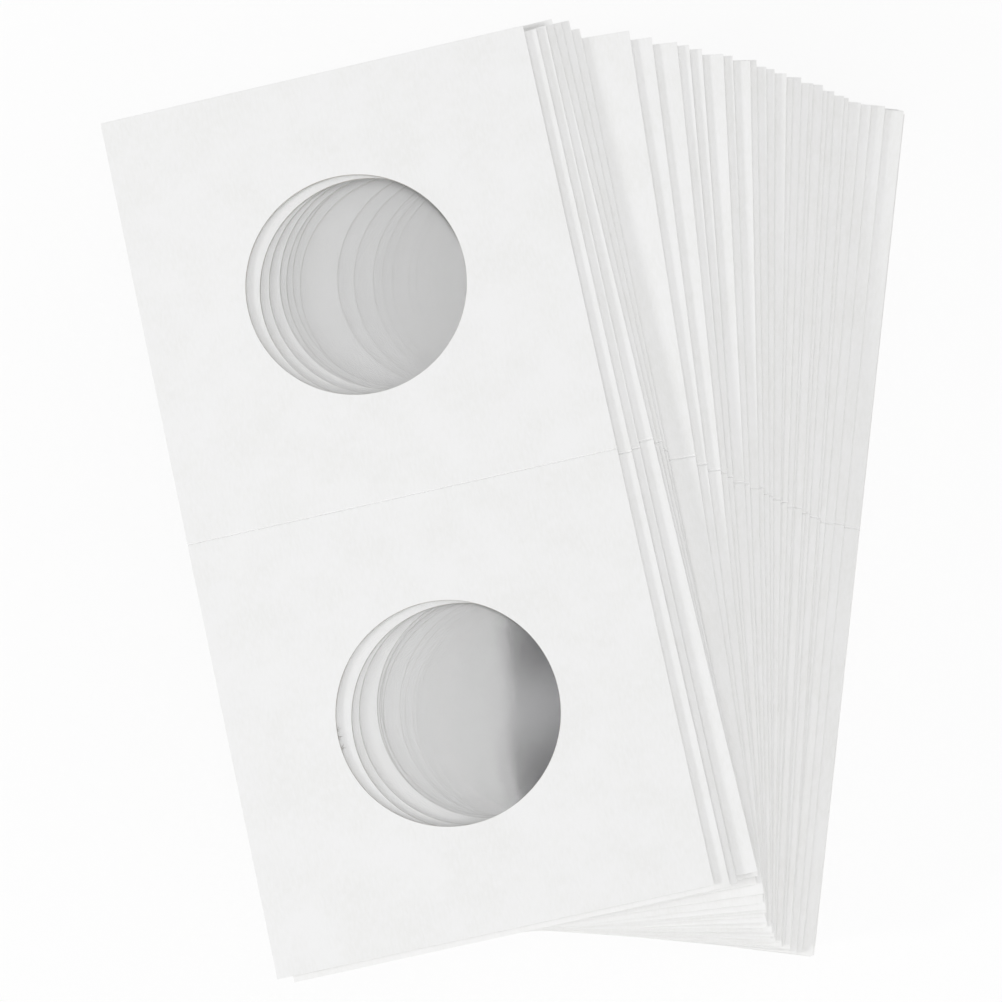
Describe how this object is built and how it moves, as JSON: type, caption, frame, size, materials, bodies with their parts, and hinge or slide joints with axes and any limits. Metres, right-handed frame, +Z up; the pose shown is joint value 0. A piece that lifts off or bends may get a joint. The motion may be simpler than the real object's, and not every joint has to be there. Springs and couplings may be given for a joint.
{
  "type": "coin holder flip pack",
  "caption": "Fanned pack of square cardboard coin flips, opened flat, with a round window in each half closed by clear film.",
  "frame": {"origin": "centre of the underside of the lowest flip", "axes": "+Z up through the pack, +Y along the lowest flip from its near end to its far end, +X across it"},
  "size_m": [0.094, 0.1146, 0.0269],
  "materials": {
    "card": "matte",
    "film": "gloss"
  },
  "bodies": {
    "flips_48_to_50": {"flips_48_to_50_cards": "card", "flips_48_to_50_films": "film"},
    "flips_45_to_47": {"flips_45_to_47_cards": "card", "flips_45_to_47_films": "film"},
    "flips_42_to_44": {"flips_42_to_44_cards": "card", "flips_42_to_44_films": "film"},
    "flips_39_to_41": {"flips_39_to_41_cards": "card", "flips_39_to_41_films": "film"},
    "flips_36_to_38": {"flips_36_to_38_cards": "card", "flips_36_to_38_films": "film"},
    "flips_33_to_35": {"flips_33_to_35_cards": "card", "flips_33_to_35_films": "film"},
    "flips_30_to_32": {"flips_30_to_32_cards": "card", "flips_30_to_32_films": "film"},
    "flips_27_to_29": {"flips_27_to_29_cards": "card", "flips_27_to_29_films": "film"},
    "flips_24_to_26": {"flips_24_to_26_cards": "card", "flips_24_to_26_films": "film"},
    "flips_22_to_23": {"flips_22_to_23_cards": "card", "flips_22_to_23_films": "film"},
    "flips_20_to_21": {"flips_20_to_21_cards": "card", "flips_20_to_21_films": "film"},
    "flips_18_to_19": {"flips_18_to_19_cards": "card", "flips_18_to_19_films": "film"},
    "flips_16_to_17": {"flips_16_to_17_cards": "card", "flips_16_to_17_films": "film"},
    "flip_15": {"flip_15_card": "card", "flip_15_film": "film"},
    "flip_14": {"flip_14_card": "card", "flip_14_film": "film"},
    "flip_13": {"flip_13_card": "card", "flip_13_film": "film"},
    "flip_12": {"flip_12_card": "card", "flip_12_film": "film"},
    "flip_11": {"flip_11_card": "card", "flip_11_film": "film"},
    "flip_10": {"flip_10_card": "card", "flip_10_film": "film"},
    "flip_09": {"flip_09_card": "card", "flip_09_film": "film"},
    "flip_08": {"flip_08_card": "card", "flip_08_film": "film"},
    "flip_07": {"flip_07_card": "card", "flip_07_film": "film"},
    "flip_06": {"flip_06_card": "card", "flip_06_film": "film"},
    "flip_05": {"flip_05_card": "card", "flip_05_film": "film"},
    "flip_04": {"flip_04_card": "card", "flip_04_film": "film"},
    "flip_03": {"flip_03_card": "card", "flip_03_film": "film"},
    "flip_02": {"flip_02_card": "card", "flip_02_film": "film"},
    "flip_01_near": {"flip_01_near_card": "card", "flip_01_near_film": "film"},
    "flip_01_far": {"flip_01_far_card": "card", "flip_01_far_film": "film"}
  },
  "joints": [
    {"name": "fan_45_to_47", "type": "hinge", "parent": "flips_48_to_50", "child": "flips_45_to_47", "pos_m": [-0.0078, -0.0685, 0], "axis": [0, 0, 1], "range_deg": [-0.1, 44.91]},
    {"name": "fan_42_to_44", "type": "hinge", "parent": "flips_48_to_50", "child": "flips_42_to_44", "pos_m": [-0.0078, -0.0685, 0], "axis": [0, 0, 1], "range_deg": [-0.15, 44.85]},
    {"name": "fan_39_to_41", "type": "hinge", "parent": "flips_48_to_50", "child": "flips_39_to_41", "pos_m": [-0.0078, -0.0685, 0], "axis": [0, 0, 1], "range_deg": [-0.15, 44.85]},
    {"name": "fan_36_to_38", "type": "hinge", "parent": "flips_48_to_50", "child": "flips_36_to_38", "pos_m": [-0.0078, -0.0685, 0], "axis": [0, 0, 1], "range_deg": [-0.04, 44.96]},
    {"name": "fan_33_to_35", "type": "hinge", "parent": "flips_48_to_50", "child": "flips_33_to_35", "pos_m": [-0.0078, -0.0685, 0], "axis": [0, 0, 1], "range_deg": [0, 45]},
    {"name": "fan_30_to_32", "type": "hinge", "parent": "flips_48_to_50", "child": "flips_30_to_32", "pos_m": [-0.0078, -0.0685, 0], "axis": [0, 0, 1], "range_deg": [-1.14, 43.86]},
    {"name": "fan_27_to_29", "type": "hinge", "parent": "flips_48_to_50", "child": "flips_27_to_29", "pos_m": [-0.0078, -0.0685, 0], "axis": [0, 0, 1], "range_deg": [-2.57, 42.44]},
    {"name": "fan_24_to_26", "type": "hinge", "parent": "flips_48_to_50", "child": "flips_24_to_26", "pos_m": [-0.0078, -0.0685, 0], "axis": [0, 0, 1], "range_deg": [-3.42, 41.58]},
    {"name": "fan_22_to_23", "type": "hinge", "parent": "flips_48_to_50", "child": "flips_22_to_23", "pos_m": [-0.0078, -0.0685, 0], "axis": [0, 0, 1], "range_deg": [-3.99, 41.01]},
    {"name": "fan_20_to_21", "type": "hinge", "parent": "flips_48_to_50", "child": "flips_20_to_21", "pos_m": [-0.0078, -0.0685, 0], "axis": [0, 0, 1], "range_deg": [-4.75, 40.25]},
    {"name": "fan_18_to_19", "type": "hinge", "parent": "flips_48_to_50", "child": "flips_18_to_19", "pos_m": [-0.0078, -0.0685, 0], "axis": [0, 0, 1], "range_deg": [-6.08, 38.92]},
    {"name": "fan_16_to_17", "type": "hinge", "parent": "flips_48_to_50", "child": "flips_16_to_17", "pos_m": [-0.0078, -0.0685, 0], "axis": [0, 0, 1], "range_deg": [-7.22, 37.78]},
    {"name": "fan_15", "type": "hinge", "parent": "flips_48_to_50", "child": "flip_15", "pos_m": [-0.0078, -0.0685, 0], "axis": [0, 0, 1], "range_deg": [-7.41, 37.59]},
    {"name": "fan_14", "type": "hinge", "parent": "flips_48_to_50", "child": "flip_14", "pos_m": [-0.0078, -0.0685, 0], "axis": [0, 0, 1], "range_deg": [-8.55, 36.45]},
    {"name": "fan_13", "type": "hinge", "parent": "flips_48_to_50", "child": "flip_13", "pos_m": [-0.0078, -0.0685, 0], "axis": [0, 0, 1], "range_deg": [-9.12, 35.88]},
    {"name": "fan_12", "type": "hinge", "parent": "flips_48_to_50", "child": "flip_12", "pos_m": [-0.0078, -0.0685, 0], "axis": [0, 0, 1], "range_deg": [-10.45, 34.55]},
    {"name": "fan_11", "type": "hinge", "parent": "flips_48_to_50", "child": "flip_11", "pos_m": [-0.0078, -0.0685, 0], "axis": [0, 0, 1], "range_deg": [-11.4, 33.6]},
    {"name": "fan_10", "type": "hinge", "parent": "flips_48_to_50", "child": "flip_10", "pos_m": [-0.0078, -0.0685, 0], "axis": [0, 0, 1], "range_deg": [-12.16, 32.84]},
    {"name": "fan_09", "type": "hinge", "parent": "flips_48_to_50", "child": "flip_09", "pos_m": [-0.0078, -0.0685, 0], "axis": [0, 0, 1], "range_deg": [-13.68, 31.32]},
    {"name": "fan_08", "type": "hinge", "parent": "flips_48_to_50", "child": "flip_08", "pos_m": [-0.0078, -0.0685, 0], "axis": [0, 0, 1], "range_deg": [-15.2, 29.8]},
    {"name": "fan_07", "type": "hinge", "parent": "flips_48_to_50", "child": "flip_07", "pos_m": [-0.0078, -0.0685, 0], "axis": [0, 0, 1], "range_deg": [-18.05, 26.95]},
    {"name": "fan_06", "type": "hinge", "parent": "flips_48_to_50", "child": "flip_06", "pos_m": [-0.0078, -0.0685, 0], "axis": [0, 0, 1], "range_deg": [-18.81, 26.19]},
    {"name": "fan_05", "type": "hinge", "parent": "flips_48_to_50", "child": "flip_05", "pos_m": [-0.0078, -0.0685, 0], "axis": [0, 0, 1], "range_deg": [-19.38, 25.62]},
    {"name": "fan_04", "type": "hinge", "parent": "flips_48_to_50", "child": "flip_04", "pos_m": [-0.0078, -0.0685, 0], "axis": [0, 0, 1], "range_deg": [-19.95, 25.05]},
    {"name": "fan_03", "type": "hinge", "parent": "flips_48_to_50", "child": "flip_03", "pos_m": [-0.0078, -0.0685, 0], "axis": [0, 0, 1], "range_deg": [-19, 26]},
    {"name": "fan_02", "type": "hinge", "parent": "flips_48_to_50", "child": "flip_02", "pos_m": [-0.0078, -0.0685, 0], "axis": [0, 0, 1], "range_deg": [-19.19, 25.81]},
    {"name": "lift_01", "type": "slide", "parent": "flip_02", "child": "flip_01_near", "axis": [0, 0, 1], "range_m": [0, 0.16]},
    {"name": "fold_01", "type": "hinge", "parent": "flip_01_near", "child": "flip_01_far", "pos_m": [-0.02792, -0.00454, 0.02641], "axis": [-0.9455, -0.3256, 0], "range_deg": [0, 180]}
  ],
  "couplings": [
    {"joint": "fold_01", "follows": "lift_01", "rad_per_m": 19.6}
  ]
}
